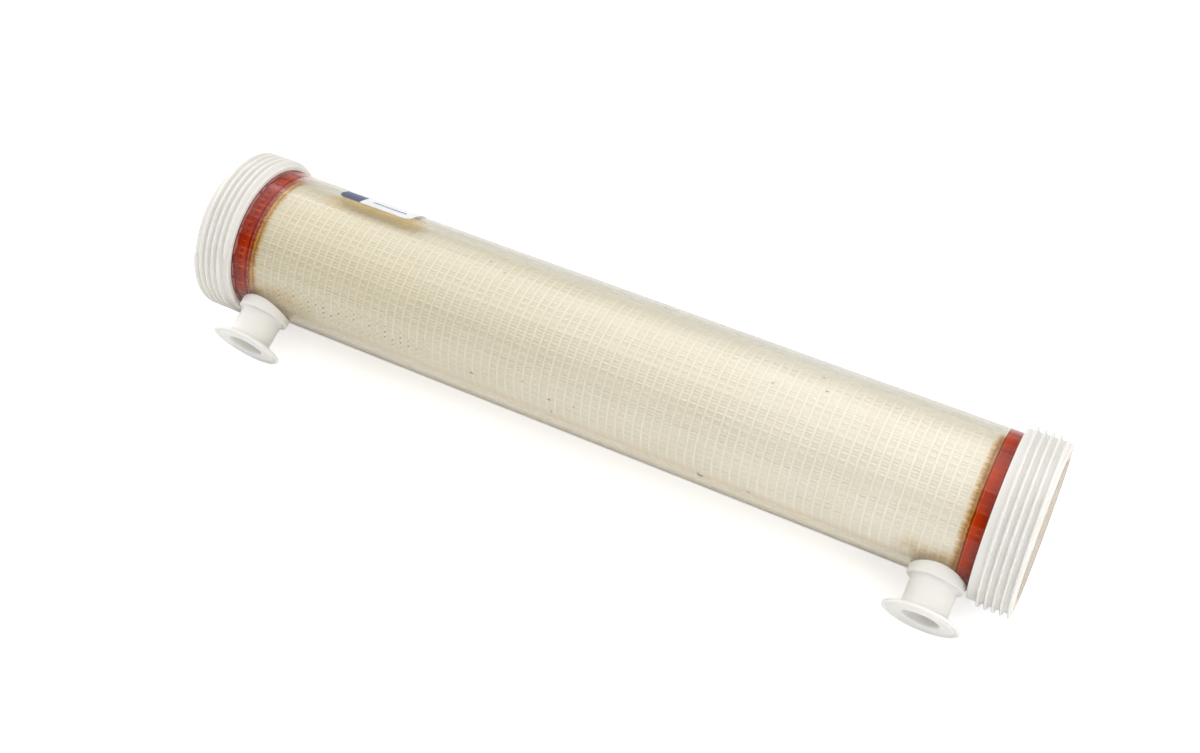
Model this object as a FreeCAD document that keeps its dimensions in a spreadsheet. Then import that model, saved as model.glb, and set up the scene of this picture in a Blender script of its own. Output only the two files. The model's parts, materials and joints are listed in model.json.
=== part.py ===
"""Hollow fibre microfiltration cartridge, lying on its threads and on the rims of its two ports.

The clear tube runs along X with its ends cut flush. A white threaded collar is cemented on each end,
and two white clamp ports leave the tube's side. Inside, the fibres in their net are cast in resin.
"""
import FreeCAD, Part
import math
import os
import Sketcher

doc = FreeCAD.newDocument("cartridge")

# Driving sizes, in millimetres and degrees
SIZES = (
    ("overall_length", 602),
    ("tube_outer_radius", 52.5),
    ("tube_wall", 5),
    ("glue_line", 0.1),
    ("collar_wall", 3.7),
    ("collar_land", 2),
    ("collar_edge_chamfer", 0.8),
    ("thread_height", 2.7),
    ("thread_pitch", 4.9),
    ("thread_turns", 5),
    ("thread_crest_width", 1.3),
    ("thread_flank_width", 0.6),
    ("thread_lead_in", 7),
    ("thread_run_out", 10),
    ("left_thread_start", 17),
    ("right_thread_start", -56),
    ("left_port_clearance", 4),
    ("right_port_clearance", 1.1),
    ("port_projection", 29.7),
    ("port_bore_radius", 12),
    ("port_mouth_chamfer", 1),
    ("port_neck_wall", 3),
    ("flange_radius", 25.25),
    ("flange_rim_thickness", 2),
    ("flange_back_slope", 20),
    ("flange_outer_land", 1.95),
    ("groove_mouth_width", 3),
    ("groove_floor_width", 1.4),
    ("groove_depth", 1),
    ("boss_ledge", 3.5),
    ("boss_rise", 4.9),
    ("boss_edge_chamfer", 0.8),
    ("spigot_wall", 2),
    ("spigot_recess", 0.5),
    ("left_potting_length", 40.5),
    ("right_potting_length", 38.5),
    ("overlay_length", 3),
    ("net_slack", 0.3),
    ("net_strand_height", 0.8),
    ("net_strand_width", 0.9),
    ("net_film", 0.5),
    ("net_strand_count", 66),
    ("fibre_slack", 0.1),
    ("label_inset", 74.5),
    ("label_length", 62),
    ("label_width", 30),
    ("label_thickness", 0.2),
    ("label_adhesive", 0.1),
    ("label_corner_radius", 5),
    ("label_lower_edge", 105.3),
)

sheet = doc.addObject("Spreadsheet::Sheet", "sizes")
for row, (alias, number) in enumerate(SIZES, start=1):
    sheet.set("A%d" % row, alias)
    sheet.set("B%d" % row, str(number))
    sheet.setAlias("B%d" % row, alias)
doc.recompute()

# Sizes that follow from the sheet, written as expressions
HALF_LENGTH = "(sizes.overall_length / 2)"
TUBE_BORE = "(sizes.tube_outer_radius - sizes.tube_wall)"
COLLAR_BORE = "(sizes.tube_outer_radius + sizes.glue_line)"
ROOT_RADIUS = f"({COLLAR_BORE} + sizes.collar_wall)"
CREST_RADIUS = f"({ROOT_RADIUS} + sizes.thread_height)"
THREAD_BASE = "(sizes.thread_crest_width + 2 * sizes.thread_flank_width)"
THREAD_LENGTH = f"(sizes.thread_turns * sizes.thread_pitch + {THREAD_BASE})"
COLLAR_LENGTH = f"({THREAD_LENGTH} + sizes.collar_land)"
PORT_REACH = "(sizes.tube_outer_radius + sizes.port_projection)"
NECK_RADIUS = "(sizes.port_bore_radius + sizes.port_neck_wall)"
BOSS_RADIUS = f"({NECK_RADIUS} + sizes.boss_ledge)"
BOSS_TOP = "(sizes.tube_outer_radius + sizes.boss_rise)"
SPIGOT_RADIUS = "(sizes.port_bore_radius + sizes.spigot_wall)"
PORT_PLACES = {
    side: f"({HALF_LENGTH} - {COLLAR_LENGTH} - sizes.{side}_port_clearance - {BOSS_RADIUS})"
    for side in ("left", "right")
}
RESIN_LENGTHS = {
    side: f"(sizes.{side}_potting_length + sizes.overlay_length)" for side in ("left", "right")
}
FREE_LENGTH = f"(sizes.overall_length - {RESIN_LENGTHS['left']} - {RESIN_LENGTHS['right']})"
FILM_OUTER = f"({TUBE_BORE} - sizes.net_slack - sizes.net_strand_height)"
FILM_INNER = f"({FILM_OUTER} - sizes.net_film)"
HALF_MESH = "(180 / sizes.net_strand_count)"

# The ports hang below the horizontal by the angle at which their rims touch the floor with the threads
PORT_DROP = (
    f"(asin({CREST_RADIUS} / hypot({PORT_REACH}; sizes.flange_radius))"
    f" - atan(sizes.flange_radius / {PORT_REACH}))"
)
AXIS_Z = CREST_RADIUS
PORT_SIDE = f"({PORT_REACH} * cos({PORT_DROP}) + sizes.flange_radius * sin({PORT_DROP}))"
AXIS_Y = f"(({PORT_SIDE} - {CREST_RADIUS}) / 2)"


def at(along, turn="rotationx(0)"):
    """Placement on the tube's axis, at a distance along X."""
    return f"placement(vector({along}; {AXIS_Y}; {AXIS_Z}); {turn})"


def body_plane(body, role):
    return next(plane for plane in body.Origin.OriginFeatures if plane.Role == role)


def new_sketch(body, name, role, lift="0"):
    """Empty sketch on one of the body's own origin planes, lifted along the plane's normal."""
    sketch = body.newObject("Sketcher::SketchObject", name)
    sketch.AttachmentSupport = (body_plane(body, role), [""])
    sketch.MapMode = "FlatFace"
    sketch.setExpression(".AttachmentOffset.Base.z", lift)
    return sketch


def pin_corner(sketch, line, kind, name, rough, expression):
    """Hold the start of a line at a distance from the sketch's origin."""
    index = sketch.addConstraint(Sketcher.Constraint(kind, -1, 1, line, 1, rough))
    sketch.renameConstraint(index, name)
    sketch.setExpression("Constraints." + name, expression)


def outline(body, name, role, corners, lift="0"):
    """Closed outline of straight lines whose corners stand at expressions of the sheet."""
    sketch = new_sketch(body, name, role, lift)
    count = len(corners)
    rough = [FreeCAD.Vector(*rough_corner(number, count)) for number in range(count)]
    for number in range(count):
        sketch.addGeometry(Part.LineSegment(rough[number], rough[(number + 1) % count]))
    for number in range(count):
        sketch.addConstraint(Sketcher.Constraint("Coincident", number, 2, (number + 1) % count, 1))
    for number, (across, up) in enumerate(corners):
        pin_corner(sketch, number, "DistanceX", "across_%d" % number, rough[number].x, across)
        pin_corner(sketch, number, "DistanceY", "up_%d" % number, rough[number].y, up)
    return sketch


def rough_corner(number, count):
    """First place of a corner, on a ring, before its constraints move it."""
    turn = 2 * math.pi * number / count
    return 40 + 20 * math.cos(turn), 60 + 20 * math.sin(turn), 0


def revolve(body, name, sketch, axis):
    """Full turn of a sketch about its own horizontal or vertical axis."""
    turned = body.newObject("PartDesign::Revolution", name)
    turned.Profile = sketch
    turned.ReferenceAxis = (sketch, [axis])
    turned.Angle = 360
    return turned


def pocket(body, name, sketch, depth=None, towards_normal=False):
    """Cut to a depth on one side of the sketch or, with no depth, right through on both sides."""
    cut = body.newObject("PartDesign::Pocket", name)
    cut.Profile = sketch
    if depth is None:
        cut.Type = "ThroughAll"
        cut.SideType = "Symmetric"
    else:
        cut.setExpression("Length", depth)
        cut.Reversed = towards_normal
    return cut


def new_body(name):
    return doc.addObject("PartDesign::Body", name)


def bar(name, radius, length, placement):
    """Round bar along X, from its placement inwards."""
    solid = doc.addObject("Part::Cylinder", name)
    solid.setExpression("Radius", radius)
    solid.setExpression("Height", length)
    solid.setExpression("Placement", placement)
    return solid


def pair(name, pieces):
    """Two like mouldings, kept apart as two solids of one piece."""
    both = doc.addObject("Part::Compound", name)
    both.Links = pieces
    return both


def housing_tube():
    """Clear tube with a hole for each port's spigot."""
    left_end = at(f"-{HALF_LENGTH}", "rotationy(90)")
    wall = bar("tube_wall_bar", "sizes.tube_outer_radius", "sizes.overall_length", left_end)
    tools = [bar("tube_bore_bar", TUBE_BORE, "sizes.overall_length", left_end)]
    for side, place in (("left", f"-{PORT_PLACES['left']}"), ("right", PORT_PLACES["right"])):
        outwards = at(place, f"rotationx(90 deg + {PORT_DROP})")
        hole_radius = f"{SPIGOT_RADIUS} + sizes.glue_line"
        tools.append(bar(side + "_port_hole", hole_radius, PORT_REACH, outwards))
    cutters = doc.addObject("Part::MultiFuse", "tube_cutters")
    cutters.Shapes = tools
    tube = doc.addObject("Part::Cut", "housing_tube")
    tube.Base = wall
    tube.Tool = cutters
    return tube


def thread_ramp(body, name, angle, lift, towards_normal):
    """Slope that fades the thread in or out, cut by a wedge from its root up to its crest."""
    crest_corner = (f"{CREST_RADIUS} * cos(90 + {angle})", f"{CREST_RADIUS} * sin(90 + {angle})")
    corners = [("0", ROOT_RADIUS), crest_corner, ("0", f"{CREST_RADIUS} + sizes.thread_height")]
    wedge = outline(body, name + "_wedge", "YZ_Plane", corners, lift)
    depth = f"({THREAD_BASE} + sizes.thread_pitch) / 2"
    return pocket(body, name, wedge, depth, towards_normal)


def end_collar(name, placement):
    """Moulded collar whose thread runs from its outer end, at x = 0, to a plain land at its mouth."""
    body = new_body(name)
    sleeve_corners = [
        ("0", COLLAR_BORE),
        ("0", f"{ROOT_RADIUS} - sizes.collar_edge_chamfer"),
        ("sizes.collar_edge_chamfer", ROOT_RADIUS),
        (COLLAR_LENGTH, ROOT_RADIUS),
        (COLLAR_LENGTH, COLLAR_BORE),
    ]
    sleeve = outline(body, name + "_section", "XZ_Plane", sleeve_corners)
    revolve(body, name + "_sleeve", sleeve, "H_Axis")
    doc.recompute()
    sunk = f"{ROOT_RADIUS} - sizes.collar_edge_chamfer"
    ridge_corners = [
        ("0", sunk),
        ("0", ROOT_RADIUS),
        ("sizes.thread_flank_width", CREST_RADIUS),
        ("sizes.thread_flank_width + sizes.thread_crest_width", CREST_RADIUS),
        (THREAD_BASE, ROOT_RADIUS),
        (THREAD_BASE, sunk),
    ]
    ridge = outline(body, name + "_ridge", "XZ_Plane", ridge_corners)
    doc.recompute()
    thread = body.newObject("PartDesign::AdditiveHelix", name + "_thread")
    thread.Profile = ridge
    thread.ReferenceAxis = (ridge, ["H_Axis"])
    thread.Mode = "pitch-turns-angle"
    thread.setExpression("Pitch", "sizes.thread_pitch")
    thread.setExpression("Turns", "sizes.thread_turns")
    doc.recompute()
    thread_ramp(body, name + "_lead_in", "sizes.thread_lead_in", "0", True)
    thread_ramp(body, name + "_run_out", "-sizes.thread_run_out", THREAD_LENGTH, False)
    body.setExpression("Placement", placement)
    return body


def permeate_port(name, place):
    """Boss, neck and clamp flange along +Z from the tube's axis, with a saddle that fits the tube."""
    body = new_body(name)
    rim_back = f"{PORT_REACH} - sizes.flange_rim_thickness"
    slope_rise = f"(sizes.flange_radius - {NECK_RADIUS}) * tan(sizes.flange_back_slope)"
    groove_outer = "sizes.flange_radius - sizes.flange_outer_land"
    groove_side = "(sizes.groove_mouth_width - sizes.groove_floor_width) / 2"
    groove_floor = f"{PORT_REACH} - sizes.groove_depth"
    corners = [
        ("sizes.port_bore_radius", TUBE_BORE),
        (BOSS_RADIUS, TUBE_BORE),
        (BOSS_RADIUS, f"{BOSS_TOP} - sizes.boss_edge_chamfer"),
        (f"{BOSS_RADIUS} - sizes.boss_edge_chamfer", BOSS_TOP),
        (NECK_RADIUS, BOSS_TOP),
        (NECK_RADIUS, f"{rim_back} - {slope_rise}"),
        ("sizes.flange_radius", rim_back),
        ("sizes.flange_radius", PORT_REACH),
        (groove_outer, PORT_REACH),
        (f"{groove_outer} - {groove_side}", groove_floor),
        (f"{groove_outer} - {groove_side} - sizes.groove_floor_width", groove_floor),
        (f"{groove_outer} - sizes.groove_mouth_width", PORT_REACH),
        ("sizes.port_bore_radius + sizes.port_mouth_chamfer", PORT_REACH),
        ("sizes.port_bore_radius", f"{PORT_REACH} - sizes.port_mouth_chamfer"),
    ]
    section = outline(body, name + "_section", "XZ_Plane", corners)
    revolve(body, name + "_turned", section, "V_Axis")
    doc.recompute()
    saddle = new_sketch(body, name + "_saddle_circle", "YZ_Plane")
    saddle.addGeometry(Part.Circle(FreeCAD.Vector(), FreeCAD.Vector(0, 0, 1), 10))
    saddle.addConstraint(Sketcher.Constraint("Coincident", 0, 3, -1, 1))
    saddle.renameConstraint(saddle.addConstraint(Sketcher.Constraint("Radius", 0, 10)), "seat")
    saddle.setExpression("Constraints.seat", COLLAR_BORE)
    pocket(body, name + "_saddle", saddle)
    doc.recompute()
    spigot_end = f"{TUBE_BORE} + sizes.spigot_recess"
    spigot_corners = [
        ("sizes.port_bore_radius", spigot_end),
        (SPIGOT_RADIUS, spigot_end),
        (SPIGOT_RADIUS, BOSS_TOP),
        ("sizes.port_bore_radius", BOSS_TOP),
    ]
    spigot = outline(body, name + "_spigot_section", "XZ_Plane", spigot_corners)
    revolve(body, name + "_spigot", spigot, "V_Axis")
    body.setExpression("Placement", at(place, f"rotationx(90 deg + {PORT_DROP})"))
    return body


def netting_sleeve():
    """Moulded net between the two resin ends: each strand stands on its own flat strip of film."""
    body = new_body("netting_sleeve")
    strip_face = f"{FILM_OUTER} * cos({HALF_MESH})"
    strand_foot = "sizes.net_strand_width / 2"
    corners = [
        (f"-{FILM_INNER} * sin({HALF_MESH})", f"{FILM_INNER} * cos({HALF_MESH})"),
        (f"-{FILM_OUTER} * sin({HALF_MESH})", strip_face),
        (f"-{strand_foot}", strip_face),
        ("0", f"{FILM_OUTER} + sizes.net_strand_height"),
        (strand_foot, strip_face),
        (f"{FILM_OUTER} * sin({HALF_MESH})", strip_face),
        (f"{FILM_INNER} * sin({HALF_MESH})", f"{FILM_INNER} * cos({HALF_MESH})"),
    ]
    section = outline(body, "net_strip_section", "YZ_Plane", corners)
    strip = body.newObject("PartDesign::Pad", "net_strip")
    strip.Profile = section
    strip.setExpression("Length", FREE_LENGTH)
    doc.recompute()
    pattern = body.newObject("PartDesign::PolarPattern", "net_strips")
    pattern.Originals = [strip]
    pattern.Axis = (section, ["N_Axis"])
    pattern.Angle = 360
    pattern.setExpression("Occurrences", "sizes.net_strand_count")
    body.Tip = pattern
    body.setExpression("Placement", at(f"{RESIN_LENGTHS['left']} - {HALF_LENGTH}"))
    return body


def label():
    """Curved sticker on the tube, with round corners."""
    left_edge = f"sizes.label_inset - {HALF_LENGTH}"
    along_tube = at(left_edge, "rotationy(90)")
    back_radius = "sizes.tube_outer_radius + sizes.label_adhesive"
    sheet_ring = doc.addObject("Part::Cut", "label_ring")
    front_radius = f"{back_radius} + sizes.label_thickness"
    sheet_ring.Base = bar("label_front", front_radius, "sizes.label_length", along_tube)
    sheet_ring.Tool = bar("label_back", back_radius, "sizes.label_length", along_tube)
    width_angle = "(2 * asin(sizes.label_width / 2 / sizes.tube_outer_radius))"
    block = doc.addObject("Part::Box", "label_block")
    block.setExpression("Length", "sizes.label_length")
    block.setExpression("Width", "sizes.label_width")
    block.setExpression("Height", "2 * sizes.tube_outer_radius")
    turn = f"rotationx((90 - sizes.label_lower_edge) * 1 deg - {width_angle} / 2)"
    doc.recompute()
    rounded = doc.addObject("Part::Fillet", "label_rounded_block")
    rounded.Base = block
    upright = [
        number
        for number, edge in enumerate(block.Shape.Edges, start=1)
        if abs(edge.tangentAt(edge.FirstParameter).z) > 0.5
    ]
    corner = sheet.get("label_corner_radius")
    rounded.Edges = [(number, corner, corner) for number in upright]
    shift = "vector(0; -sizes.label_width / 2; 0)"
    rounded.setExpression(
        "Placement",
        f"{at(left_edge, turn)} * placement({shift}; rotationx(0))",
    )
    sticker = doc.addObject("Part::Common", "label")
    sticker.Base = sheet_ring
    sticker.Tool = rounded
    return sticker


END_TURNS = {"left": "rotationz(0)", "right": "rotationz(180)"}
END_PLACES = {"left": f"-{HALF_LENGTH}", "right": HALF_LENGTH}
collars = []
ports = []
resins = []
for side in ("left", "right"):
    end_place = END_PLACES[side]
    towards = "1" if side == "left" else "-1"
    thread_turn = f"rotationx(90 - sizes.{side}_thread_start) * {END_TURNS[side]}"
    collars.append(end_collar(side + "_end_collar", at(end_place, thread_turn)))
    ports.append(permeate_port(side + "_permeate_port", f"-{towards} * {PORT_PLACES[side]}"))
    inwards = f"{END_TURNS[side]} * rotationy(90)"
    potting_length = f"sizes.{side}_potting_length"
    resins.append(bar(side + "_potting", TUBE_BORE, potting_length, at(end_place, inwards)))
    layer_place = at(f"{end_place} + {towards} * {potting_length}", inwards)
    resins.append(bar(side + "_resin_overlay", TUBE_BORE, "sizes.overlay_length", layer_place))

# The bundle lies inside the flats of the net's film
bundle_radius = f"{FILM_INNER} * cos({HALF_MESH}) - sizes.fibre_slack"
bundle_start = at(f"{RESIN_LENGTHS['left']} - {HALF_LENGTH}", "rotationy(90)")
parts = [
    housing_tube(),
    pair("end_collars", collars),
    pair("permeate_ports", ports),
    *resins,
    netting_sleeve(),
    bar("fiber_bundle", bundle_radius, FREE_LENGTH, bundle_start),
    label(),
]
doc.recompute()

for item in doc.Objects:
    if "Invalid" in item.State or "Error" in item.State:
        raise RuntimeError("%s failed: %s" % (item.Name, item.State))
os.makedirs("parts", exist_ok=True)
for piece in parts:
    shape = piece.Shape
    if shape.isNull() or not shape.isValid() or not shape.Solids:
        raise RuntimeError("%s has no valid solid" % piece.Name)
    piece.Label = piece.Name
    shape.exportStep("parts/%s.step" % piece.Name)
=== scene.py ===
import json
from math import asin, atan2, ceil, cos, hypot, pi, radians, sin, sqrt
import random

import bmesh
import bpy
from mathutils import Matrix, Vector, noise


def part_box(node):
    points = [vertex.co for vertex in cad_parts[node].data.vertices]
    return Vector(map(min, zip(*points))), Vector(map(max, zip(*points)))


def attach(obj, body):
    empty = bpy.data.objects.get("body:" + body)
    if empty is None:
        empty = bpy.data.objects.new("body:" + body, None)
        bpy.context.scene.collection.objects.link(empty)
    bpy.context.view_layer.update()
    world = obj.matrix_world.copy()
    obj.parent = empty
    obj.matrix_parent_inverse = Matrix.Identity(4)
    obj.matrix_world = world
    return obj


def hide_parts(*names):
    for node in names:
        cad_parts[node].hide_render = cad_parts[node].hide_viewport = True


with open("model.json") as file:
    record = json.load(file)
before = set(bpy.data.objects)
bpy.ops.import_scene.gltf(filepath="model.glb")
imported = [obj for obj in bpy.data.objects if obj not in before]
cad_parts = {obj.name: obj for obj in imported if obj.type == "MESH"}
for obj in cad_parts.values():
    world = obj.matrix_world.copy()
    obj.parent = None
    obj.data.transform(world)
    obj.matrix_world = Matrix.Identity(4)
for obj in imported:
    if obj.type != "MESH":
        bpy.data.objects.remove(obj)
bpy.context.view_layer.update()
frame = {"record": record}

# Housing tube: one clear tube extruded in an amber-tinted plastic and cut flush at both ends.
# Two round holes through its wall take the ports. It lies along X, and everything else is
# cemented on it or cast inside it.
MM = 0.001
mounts = {mount["name"]: mount for mount in frame["record"]["mounts"]}
TUBE_AXIS = Vector((0, *mounts["left_collar_thread"]["pos_m"][1:]))
HALF_LENGTH = mounts["right_end_face"]["pos_m"][0]
TUBE_OUTSIDE = 52.5 * MM
TUBE_INSIDE = 47.5 * MM
HOLE_RADIUS = 14.1 * MM
HOLE_ROOM = 24 * MM
DRILL_LENGTH = 30 * MM
END_EDGE = 0.3 * MM
WALL_STEPS = 288
WELD = 0.001 * MM
CLOSE = 0.01 * MM
SIDES = {"left": -1, "right": 1}
PORT_AXIS = Vector(mounts["left_port_bore"]["axis"])
PORT_PLACES = {side: mounts[side + "_port_bore"]["pos_m"][0] for side in SIDES}


def turned(section, steps):
    """Closed outline of points (along, reach), turned once round the X axis."""
    bm = bmesh.new()
    points = [bm.verts.new((along, 0, reach)) for along, reach in section]
    lines = [bm.edges.new(ends) for ends in zip(points, points[1:] + points[:1])]
    bmesh.ops.spin(
        bm, geom=points + lines, cent=(0, 0, 0), axis=(1, 0, 0), angle=2 * pi, steps=steps, use_merge=True
    )
    bmesh.ops.remove_doubles(bm, verts=bm.verts, dist=WELD)
    bmesh.ops.recalc_face_normals(bm, faces=bm.faces)
    return bm


def repeated(bm, copies, pitch):
    """Add copies of all the faces, one pitch apart along X."""
    bmesh.ops.spin(
        bm, geom=bm.faces[:], cent=(0, 0, 0), axis=(1, 0, 0), angle=0, steps=copies,
        dvec=(pitch, 0, 0), use_duplicate=True,
    )


def mesh_of(name, bm):
    """Mesh from a bmesh, which is let go."""
    mesh = bpy.data.meshes.new(name)
    bm.to_mesh(mesh)
    bm.free()
    return mesh


def take_in(bm, other):
    """Add another bmesh to this one and let it go."""
    mesh = mesh_of("taken_in", other)
    bm.from_mesh(mesh)
    bpy.data.meshes.remove(mesh)


def in_scene(name, data):
    """Object that holds a mesh, a lamp or the camera, put into the scene."""
    holder = bpy.data.objects.new(name, data)
    bpy.context.collection.objects.link(holder)
    return holder


def made(name, bm, *materials, sharp=35, place=TUBE_AXIS):
    """Finished piece from a bmesh, moved from the origin to its place on the tube."""
    bmesh.ops.translate(bm, verts=bm.verts, vec=place)
    mesh = mesh_of(name, bm)
    mesh.shade_smooth()
    mesh.set_sharp_from_angle(angle=radians(sharp))
    for material in materials:
        mesh.materials.append(material)
    piece = in_scene(name, mesh)
    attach(piece, "root")
    return piece


def tint(red, green, blue):
    """Colour as it shows on a screen, from 0 to 255, turned into the light that it stands for."""
    shares = [level / 255 for level in (red, green, blue)]
    return (*[share / 12.92 if share < 0.04045 else ((share + 0.055) / 1.055) ** 2.4 for share in shares], 1)


class Finish:
    """Material of one Principled surface, with short calls for the nodes that vary it."""

    def __init__(self, name, **sockets):
        self.material = bpy.data.materials.new(name)
        self.material.use_nodes = True
        self.nodes = self.material.node_tree.nodes
        self.surface = self.nodes["Principled BSDF"]
        self.place = self.node("TexCoord").outputs["Object"]
        for socket, value in sockets.items():
            self.surface.inputs[socket.replace("_", " ")].default_value = value

    def node(self, kind, **values):
        made_node = self.nodes.new("ShaderNode" + kind)
        for key, value in values.items():
            setattr(made_node, key, value)
        return made_node

    def link(self, source, target):
        self.material.node_tree.links.new(source, target)
        return source

    def math(self, operation, first, second=0.0, clamp=False):
        step = self.node("Math", operation=operation, use_clamp=clamp)
        for socket, value in zip(step.inputs, (first, second)):
            if isinstance(value, (int, float)):
                socket.default_value = value
            else:
                self.link(value, socket)
        return step.outputs[0]

    def times(self, first, *others):
        """Product of node outputs and numbers."""
        for other in others:
            first = self.math("MULTIPLY", first, other)
        return first

    def less(self, share):
        """What a share leaves of 1."""
        return self.math("SUBTRACT", 1.0, share)

    def distance(self, first, second):
        """Length of the slanting side over two lengths at right angles."""
        squares = [self.math("POWER", length, 2.0) for length in (first, second)]
        return self.math("SQRT", self.math("ADD", *squares))

    def axes(self):
        """The three coordinates of a point, in metres."""
        split = self.node("SeparateXYZ")
        self.link(self.place, split.inputs[0])
        return split.outputs

    def turn(self):
        """Angle round the tube in radians, from the front horizontal upwards."""
        across, up = self.axes()[1:]
        back = self.math("SUBTRACT", TUBE_AXIS.y, across)
        return self.math("ARCTAN2", self.math("SUBTRACT", up, TUBE_AXIS.z), back)

    def patch(self, low, high, turn_low, turn_high, soft, soft_turn=radians(5)):
        """1 inside a patch of the tube's skin, given along it and round it in degrees, 0 outside."""
        inside = self.between(self.axes()[0], low, high, soft)
        round_it = self.between(self.turn(), radians(turn_low), radians(turn_high), soft_turn)
        return self.times(inside, round_it)

    def noise(self, scale, detail=3, stretch=(1, 1, 1)):
        mapping = self.node("Mapping")
        self.link(self.place, mapping.inputs["Vector"])
        mapping.inputs["Scale"].default_value = stretch
        cloud = self.node("TexNoise")
        self.link(mapping.outputs[0], cloud.inputs["Vector"])
        cloud.inputs["Scale"].default_value = scale
        cloud.inputs["Detail"].default_value = detail
        return cloud.outputs["Fac"]

    def ramp(self, source, *stops):
        """Colour ramp with stops of (place, colour)."""
        band = self.node("ValToRGB")
        self.link(source, band.inputs[0])
        elements = band.color_ramp.elements
        while len(elements) < len(stops):
            elements.new(1)
        for element, (place, colour) in zip(elements, stops):
            element.position = place
            element.color = colour
        return band.outputs["Color"]

    def clouds(self, scale, first, second, detail=3):
        """Two shades of a colour in soft clouds."""
        return self.ramp(self.noise(scale, detail), (0.3, first), (0.7, second))

    def mix(self, share, first, second):
        """Blend of two colours, each a colour or another node's output."""
        blend = self.node("Mix", data_type="RGBA")
        for socket, value in zip((blend.inputs[0], blend.inputs[6], blend.inputs[7]), (share, first, second)):
            if isinstance(value, (int, float, tuple)):
                socket.default_value = value
            else:
                self.link(value, socket)
        return blend.outputs[2]

    def stain(self, body, place, share, colour):
        """Body colour with a share of another colour where the place is 1."""
        return self.mix(self.times(place, share), body, colour)

    def span(self, source, low, high):
        """0 below low, 1 above high, smooth between."""
        step = self.node("MapRange", interpolation_type="SMOOTHSTEP")
        self.link(source, step.inputs["Value"])
        step.inputs["From Min"].default_value = low
        step.inputs["From Max"].default_value = high
        return step.outputs[0]

    def between(self, source, low, high, soft):
        """1 from low to high and 0 outside, smooth for a soft width on both sides of each."""
        rise = self.span(source, low - soft, low + soft)
        return self.times(rise, self.less(self.span(source, high - soft, high + soft)))

    def bump(self, source, depth, strength):
        relief = self.node("Bump")
        relief.inputs["Strength"].default_value = strength
        relief.inputs["Distance"].default_value = depth
        self.link(source, relief.inputs["Height"])
        self.link(relief.outputs[0], self.surface.inputs["Normal"])

    def colour(self, source):
        self.link(source, self.surface.inputs["Base Color"])


def clear_amber():
    """Clear plastic that lets the lamps reach what lies behind it and browns along a long way through it."""
    look = Finish("clear_amber", IOR=1.46, Transmission_Weight=1.0)
    across, up = look.axes()[1:]
    behind = look.math("SUBTRACT", across, TUBE_AXIS.y)
    above = look.math("SUBTRACT", up, TUBE_AXIS.z)
    polish = look.span(look.distance(behind, above), TUBE_INSIDE + 1 * MM, TUBE_OUTSIDE - 1 * MM)
    handled = look.times(look.span(look.noise(40), 0.4, 0.8), 0.012)
    dull = look.times(look.less(polish), 0.14)
    look.link(look.math("ADD", look.math("ADD", handled, dull), 0.008), look.surface.inputs["Roughness"])
    look.colour(look.ramp(look.noise(9), (0.35, tint(255, 254, 250)), (0.7, tint(252, 250, 243))))
    see_through = look.node("BsdfTransparent")
    path = look.node("LightPath").outputs
    soft_light = look.math("ADD", path["Is Shadow Ray"], path["Is Diffuse Ray"], clamp=True)
    both = look.node("MixShader")
    look.link(soft_light, both.inputs[0])
    look.link(look.surface.outputs[0], both.inputs[1])
    look.link(see_through.outputs[0], both.inputs[2])
    output = look.nodes["Material Output"]
    look.link(both.outputs[0], output.inputs["Surface"])
    depth = look.node("VolumeAbsorption")
    depth.inputs["Color"].default_value = (0.775, 0.7, 0.5, 1)
    depth.inputs["Density"].default_value = 40.0
    look.link(depth.outputs[0], output.inputs["Volume"])
    return look.material


def sawn_amber():
    """The tube's own cut ends: sawn, so matt and paler than its clear wall."""
    look = Finish("sawn_amber", Roughness=0.5)
    look.colour(look.clouds(300, tint(222, 202, 170), tint(234, 216, 190)))
    return look.material


hole_stations = [PORT_PLACES[side] + offset for side in SIDES for offset in (-HOLE_ROOM, HOLE_ROOM)]
outside = [(-HALF_LENGTH + END_EDGE, TUBE_OUTSIDE), *[(along, TUBE_OUTSIDE) for along in hole_stations],
           (HALF_LENGTH - END_EDGE, TUBE_OUTSIDE), (HALF_LENGTH, TUBE_OUTSIDE - END_EDGE)]
inside = [(HALF_LENGTH, TUBE_INSIDE), *[(along, TUBE_INSIDE) for along in reversed(hole_stations)],
          (-HALF_LENGTH, TUBE_INSIDE), (-HALF_LENGTH, TUBE_OUTSIDE - END_EDGE)]
wall = turned(outside + inside, WALL_STEPS)
for face in wall.faces:
    if abs(face.calc_center_median().x) > HALF_LENGTH - END_EDGE / 4:
        face.material_index = 1
tube = made("clear_tube", wall, clear_amber(), sawn_amber())
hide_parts("housing_tube")


def port_turn(side):
    """Turn and place that carry a shape on Z, with the tube's axis along X, onto one port."""
    across = PORT_AXIS.cross(Vector((1, 0, 0)))
    turn = Matrix((Vector((1, 0, 0)), across, PORT_AXIS)).transposed().to_4x4()
    return Matrix.Translation((PORT_PLACES[side], TUBE_AXIS.y, TUBE_AXIS.z)) @ turn


holes = bmesh.new()
for side in SIDES:
    bmesh.ops.create_cone(
        holes, cap_ends=True, segments=96, radius1=HOLE_RADIUS, radius2=HOLE_RADIUS, depth=DRILL_LENGTH,
        matrix=port_turn(side) @ Matrix.Translation((0, 0, TUBE_OUTSIDE)),
    )
drill = in_scene("port_drill", mesh_of("port_drill", holes))
cut = tube.modifiers.new("port_holes", "BOOLEAN")
cut.object = drill
cut.operation = "DIFFERENCE"
cut.solver = "EXACT"
bored = bpy.data.meshes.new_from_object(tube.evaluated_get(bpy.context.evaluated_depsgraph_get()))
tube.modifiers.clear()
tube.data = bored
bpy.data.objects.remove(drill)
bored.set_sharp_from_angle(angle=radians(35))

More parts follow.
